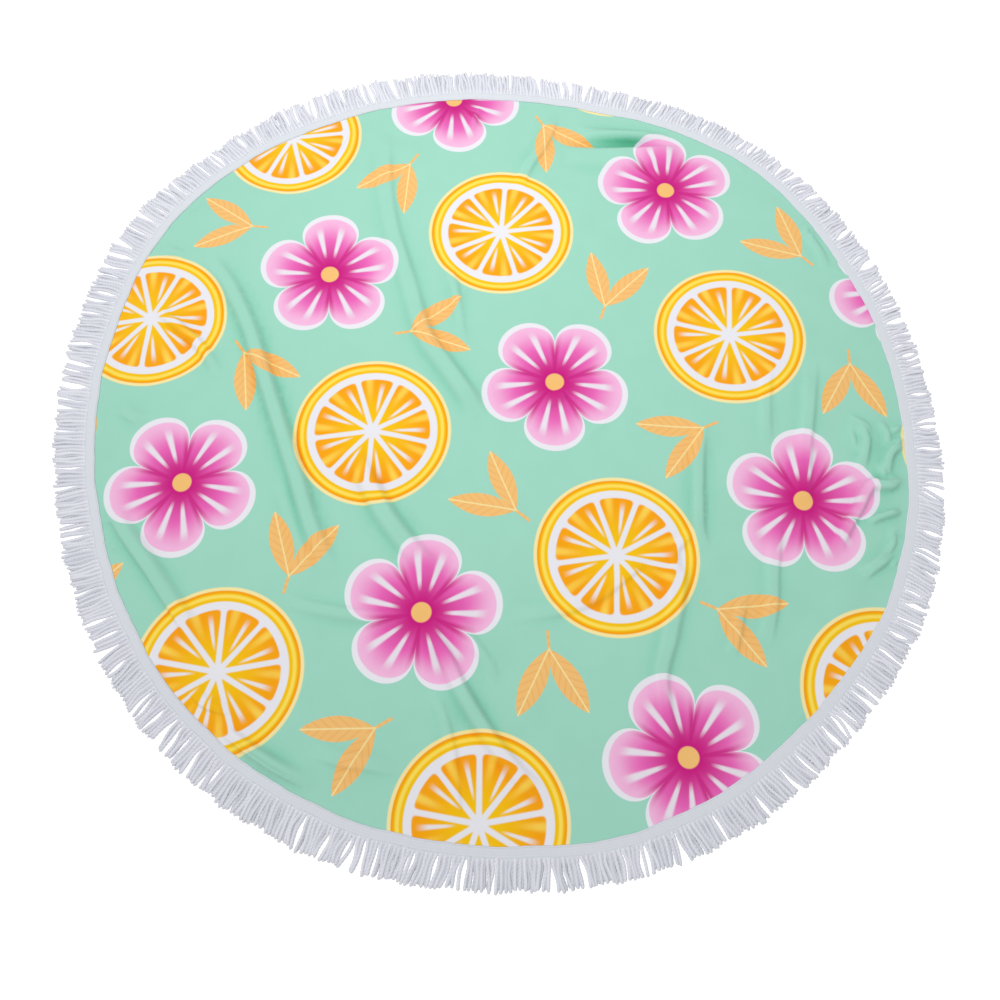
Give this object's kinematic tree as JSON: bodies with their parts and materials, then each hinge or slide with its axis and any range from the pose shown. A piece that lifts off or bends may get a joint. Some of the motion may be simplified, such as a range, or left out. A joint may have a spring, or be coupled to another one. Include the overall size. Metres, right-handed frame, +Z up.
{
  "type": "round beach towel",
  "caption": "Round beach towel laid flat: a thin printed cloth disc with soft creases and a white woven tape with a cut fringe sewn all round its edge.",
  "frame": {"origin": "on the floor, under the middle of the towel's box", "axes": "+Z up, out of the towel's printed face; +X to the right and +Y away from the viewer in the pictured view"},
  "size_m": [1.509, 1.5016, 0.0127],
  "materials": {
    "printed_cloth": "soft printed cloth, mint ground",
    "white_trim": "matt white woven tape and twisted yarn"
  },
  "bodies": {
    "root": {"towel_panel": "printed_cloth", "fringe_trim": "white_trim"}
  },
  "joints": []
}
